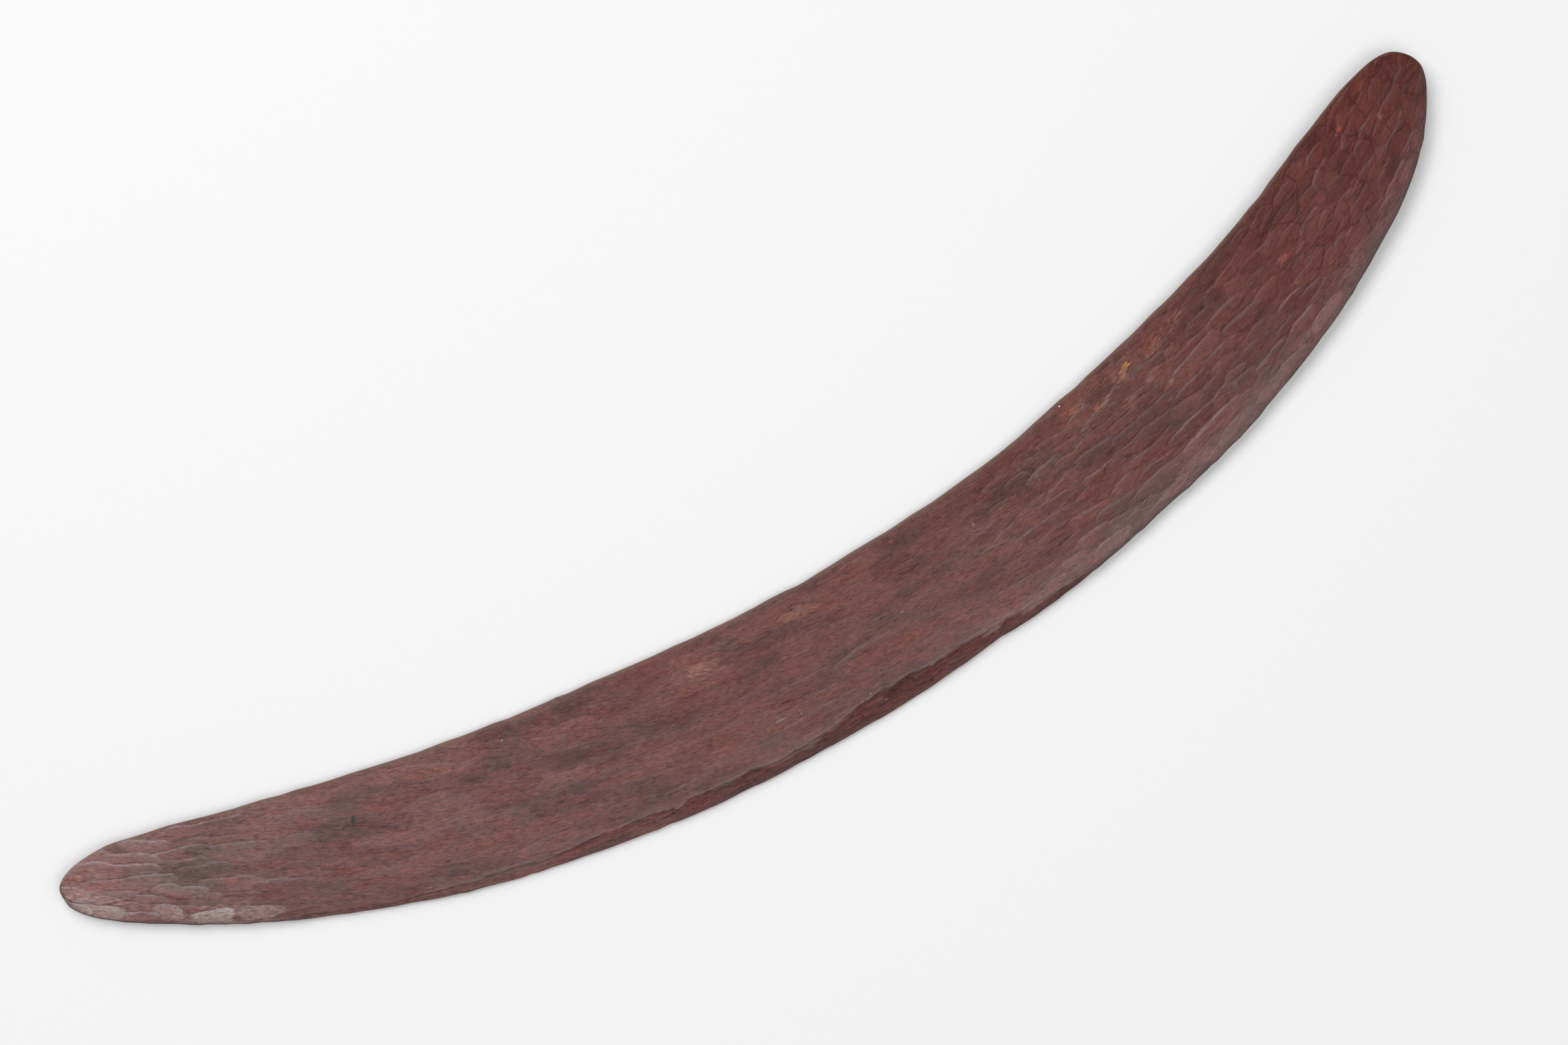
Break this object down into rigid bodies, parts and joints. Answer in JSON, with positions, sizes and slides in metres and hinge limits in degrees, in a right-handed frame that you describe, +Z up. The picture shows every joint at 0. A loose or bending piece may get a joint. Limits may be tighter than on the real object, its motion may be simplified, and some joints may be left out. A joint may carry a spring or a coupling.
{
  "type": "curved wooden throwing stick",
  "caption": "Shallow crescent boomerang carved from dark hardwood: flat underside, domed upper face, rounded ends, bevelled outer edge.",
  "frame": {"origin": "middle of the blade's bounding box in plan, on the surface that its flat underside rests on", "axes": "+X along the straight line between the two ends, from the slimmer left end to the broader right end; +Y towards the hollow, concave side; +Z up out of the domed upper face"},
  "size_m": [0.6802, 0.1288, 0.0147],
  "materials": {
    "carved_wood": "satin"
  },
  "bodies": {
    "root": {"blade": "carved_wood"}
  },
  "joints": []
}
